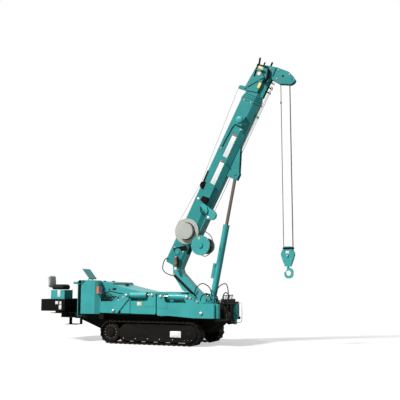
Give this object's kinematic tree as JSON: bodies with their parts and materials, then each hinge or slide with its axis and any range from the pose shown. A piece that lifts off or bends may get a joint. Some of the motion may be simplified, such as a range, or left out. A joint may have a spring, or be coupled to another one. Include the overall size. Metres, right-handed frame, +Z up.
{
  "type": "spider crane",
  "caption": "Small crane on steel tracks with folded outrigger legs, a slewing gooseneck post, a telescoping boom, a winch and a hook block.",
  "frame": {"origin": "on the ground under the middle of the overall length and width", "axes": "+X forward towards the slewing post, +Y to the machine's left, +Z up"},
  "size_m": [8.1892, 1.852, 8.3224],
  "materials": {
    "back_cover": "matt",
    "black_paint": "satin",
    "blue_lens": "gloss",
    "chrome_rod": "polished",
    "dark_steel": "satin",
    "grey_paint": "satin",
    "orange_lens": "gloss",
    "seat_cover": "matt",
    "teal_paint": "satin",
    "track_steel": "rough"
  },
  "bodies": {
    "chassis": {"track_left": "track_steel", "track_right": "track_steel", "track_frame_left": "track_steel", "track_frame_right": "track_steel", "chassis_frame": "black_paint", "front_deck": "teal_paint", "engine_hood": "teal_paint", "engine_block": "black_paint", "front_frame": "black_paint", "valve_bank": "black_paint", "foot_well": "black_paint", "console_cabinet": "teal_paint", "beacon_bracket": "black_paint", "beacon_orange": "orange_lens", "beacon_blue": "blue_lens", "rear_box": "black_paint", "seat_base": "teal_paint", "seat_cushion": "seat_cover", "seat_back": "back_cover", "rear_steps": "black_paint", "grab_rail": "black_paint"},
    "slewing_column": {"turntable": "teal_paint", "neck": "teal_paint", "lamp_stack": "grey_paint"},
    "boom": {"boom_base": "teal_paint", "winch_frame": "teal_paint", "cable_reel": "grey_paint"},
    "drum": {"winch_drum": "dark_steel"},
    "section_2": {"boom_section_2": "teal_paint"},
    "section_3": {"boom_section_3": "teal_paint"},
    "section_4": {"boom_section_4": "teal_paint", "boom_head": "teal_paint"},
    "luff_barrel": {"luff_barrel": "teal_paint"},
    "luff_rod": {"luff_rod": "chrome_rod"},
    "falls": {"hoist_rope_rear": "dark_steel", "hoist_rope_front": "dark_steel"},
    "hook_block": {"hook_block": "teal_paint"},
    "hook": {"hook": "dark_steel"},
    "console_lid": {"console_lid": "teal_paint"},
    "bracket_rear_right": {"outrigger_bracket_rear_right": "teal_paint"},
    "arm_rear_right": {"outrigger_arm_rear_right": "teal_paint"},
    "ram_barrel_rear_right": {"outrigger_ram_barrel_rear_right": "teal_paint"},
    "ram_rod_rear_right": {"outrigger_ram_rod_rear_right": "chrome_rod"},
    "bracket_rear_left": {"outrigger_bracket_rear_left": "teal_paint"},
    "arm_rear_left": {"outrigger_arm_rear_left": "teal_paint"},
    "ram_barrel_rear_left": {"outrigger_ram_barrel_rear_left": "teal_paint"},
    "ram_rod_rear_left": {"outrigger_ram_rod_rear_left": "chrome_rod"},
    "bracket_front_right": {"outrigger_bracket_front_right": "teal_paint"},
    "arm_front_right": {"outrigger_arm_front_right": "teal_paint"},
    "ram_barrel_front_right": {"outrigger_ram_barrel_front_right": "teal_paint"},
    "ram_rod_front_right": {"outrigger_ram_rod_front_right": "chrome_rod"},
    "bracket_front_left": {"outrigger_bracket_front_left": "teal_paint"},
    "arm_front_left": {"outrigger_arm_front_left": "teal_paint"},
    "ram_barrel_front_left": {"outrigger_ram_barrel_front_left": "teal_paint"},
    "ram_rod_front_left": {"outrigger_ram_rod_front_left": "chrome_rod"}
  },
  "joints": [
    {"name": "slew", "type": "hinge", "parent": "chassis", "child": "slewing_column", "pos_m": [1.315, 0, 1.15], "axis": [0, 0, 1], "continuous": true},
    {"name": "boom_luff", "type": "hinge", "parent": "slewing_column", "child": "boom", "pos_m": [0.46, 0, 2.66], "axis": [0, -1, 0], "range_deg": [-45, 15]},
    {"name": "telescope", "type": "slide", "parent": "boom", "child": "section_2", "axis": [0.4571, 0, 0.8894], "range_m": [0, 3.4]},
    {"name": "telescope_3", "type": "slide", "parent": "section_2", "child": "section_3", "axis": [0.4571, 0, 0.8894], "range_m": [0, 3.4]},
    {"name": "telescope_4", "type": "slide", "parent": "section_3", "child": "section_4", "axis": [0.4571, 0, 0.8894], "range_m": [0, 3.4]},
    {"name": "winch_turn", "type": "hinge", "parent": "boom", "child": "drum", "pos_m": [1.22672, 0, 2.83487], "axis": [0, 1, 0], "continuous": true},
    {"name": "luff_barrel_swing", "type": "hinge", "parent": "slewing_column", "child": "luff_barrel", "pos_m": [1.505, 0, 1.311], "axis": [0, -1, 0], "range_deg": [-34, 12]},
    {"name": "luff_rod_slide", "type": "slide", "parent": "luff_barrel", "child": "luff_rod", "axis": [0.2006, 0, 0.9797], "range_m": [-1.17, 0.39]},
    {"name": "falls_hang", "type": "hinge", "parent": "section_4", "child": "falls", "pos_m": [3.78, 0, 7.606], "axis": [0, -1, 0], "range_deg": [-16, 46]},
    {"name": "hoist", "type": "slide", "parent": "falls", "child": "hook_block", "axis": [0, 0, -1], "range_m": [-4.1, 0.9], "deforming": ["hoist_rope_rear", "hoist_rope_front"]},
    {"name": "hook_swivel", "type": "hinge", "parent": "hook_block", "child": "hook", "pos_m": [3.765, 0, 2.2], "axis": [0, 0, 1], "continuous": true},
    {"name": "lid_turn", "type": "hinge", "parent": "chassis", "child": "console_lid", "pos_m": [-2.21, -0.73, 1.874], "axis": [0, -1, 0], "range_deg": [-15, 86]},
    {"name": "swing_rear_right", "type": "hinge", "parent": "chassis", "child": "bracket_rear_right", "pos_m": [-1.73, -0.77, 1.2], "axis": [0, 0, -1], "range_deg": [0, 72]},
    {"name": "lower_rear_right", "type": "hinge", "parent": "bracket_rear_right", "child": "arm_rear_right", "pos_m": [-1.289, -0.77, 0.947], "axis": [0, 1, 0], "range_deg": [0, 40]},
    {"name": "ram_swing_rear_right", "type": "hinge", "parent": "bracket_rear_right", "child": "ram_barrel_rear_right", "pos_m": [-0.852, -0.77, 1.392], "axis": [0, 1, 0], "range_deg": [0, 48.5]},
    {"name": "ram_slide_rear_right", "type": "slide", "parent": "ram_barrel_rear_right", "child": "ram_rod_rear_right", "axis": [0.9999, 0, 0.0121], "range_m": [0, 0.43]},
    {"name": "swing_rear_left", "type": "hinge", "parent": "chassis", "child": "bracket_rear_left", "pos_m": [-1.73, 0.77, 1.2], "axis": [0, 0, 1], "range_deg": [0, 72]},
    {"name": "lower_rear_left", "type": "hinge", "parent": "bracket_rear_left", "child": "arm_rear_left", "pos_m": [-1.289, 0.77, 0.947], "axis": [0, 1, 0], "range_deg": [0, 40]},
    {"name": "ram_swing_rear_left", "type": "hinge", "parent": "bracket_rear_left", "child": "ram_barrel_rear_left", "pos_m": [-0.852, 0.77, 1.392], "axis": [0, 1, 0], "range_deg": [0, 48.5]},
    {"name": "ram_slide_rear_left", "type": "slide", "parent": "ram_barrel_rear_left", "child": "ram_rod_rear_left", "axis": [0.9999, 0, 0.0121], "range_m": [0, 0.43]},
    {"name": "swing_front_right", "type": "hinge", "parent": "chassis", "child": "bracket_front_right", "pos_m": [1.96, -0.77, 1.2], "axis": [0, 0, 1], "range_deg": [0, 72]},
    {"name": "lower_front_right", "type": "hinge", "parent": "bracket_front_right", "child": "arm_front_right", "pos_m": [1.519, -0.77, 0.907], "axis": [0, -1, 0], "range_deg": [0, 40]},
    {"name": "ram_swing_front_right", "type": "hinge", "parent": "bracket_front_right", "child": "ram_barrel_front_right", "pos_m": [1.082, -0.77, 1.352], "axis": [0, -1, 0], "range_deg": [0, 48.5]},
    {"name": "ram_slide_front_right", "type": "slide", "parent": "ram_barrel_front_right", "child": "ram_rod_front_right", "axis": [-0.9999, 0, 0.0121], "range_m": [0, 0.43]},
    {"name": "swing_front_left", "type": "hinge", "parent": "chassis", "child": "bracket_front_left", "pos_m": [1.96, 0.77, 1.2], "axis": [0, 0, -1], "range_deg": [0, 72]},
    {"name": "lower_front_left", "type": "hinge", "parent": "bracket_front_left", "child": "arm_front_left", "pos_m": [1.519, 0.77, 0.907], "axis": [0, -1, 0], "range_deg": [0, 40]},
    {"name": "ram_swing_front_left", "type": "hinge", "parent": "bracket_front_left", "child": "ram_barrel_front_left", "pos_m": [1.082, 0.77, 1.352], "axis": [0, -1, 0], "range_deg": [0, 48.5]},
    {"name": "ram_slide_front_left", "type": "slide", "parent": "ram_barrel_front_left", "child": "ram_rod_front_left", "axis": [-0.9999, 0, 0.0121], "range_m": [0, 0.43]}
  ],
  "couplings": [
    {"joint": "telescope_3", "follows": "telescope", "ratio": 1},
    {"joint": "telescope_4", "follows": "telescope", "ratio": 1},
    {"joint": "luff_barrel_swing", "follows": "boom_luff", "ratio": 0.74},
    {"joint": "luff_rod_slide", "follows": "boom_luff", "m_per_rad": 1.47},
    {"joint": "falls_hang", "follows": "boom_luff", "ratio": -1},
    {"joint": "lower_rear_right", "follows": "swing_rear_right", "ratio": 0.545},
    {"joint": "ram_swing_rear_right", "follows": "swing_rear_right", "ratio": 0.6527},
    {"joint": "ram_slide_rear_right", "follows": "swing_rear_right", "m_per_rad": 0.3333},
    {"joint": "lower_rear_left", "follows": "swing_rear_left", "ratio": 0.545},
    {"joint": "ram_swing_rear_left", "follows": "swing_rear_left", "ratio": 0.6527},
    {"joint": "ram_slide_rear_left", "follows": "swing_rear_left", "m_per_rad": 0.3333},
    {"joint": "lower_front_right", "follows": "swing_front_right", "ratio": 0.545},
    {"joint": "ram_swing_front_right", "follows": "swing_front_right", "ratio": 0.6527},
    {"joint": "ram_slide_front_right", "follows": "swing_front_right", "m_per_rad": 0.3333},
    {"joint": "lower_front_left", "follows": "swing_front_left", "ratio": 0.545},
    {"joint": "ram_swing_front_left", "follows": "swing_front_left", "ratio": 0.6527},
    {"joint": "ram_slide_front_left", "follows": "swing_front_left", "m_per_rad": 0.3333}
  ]
}
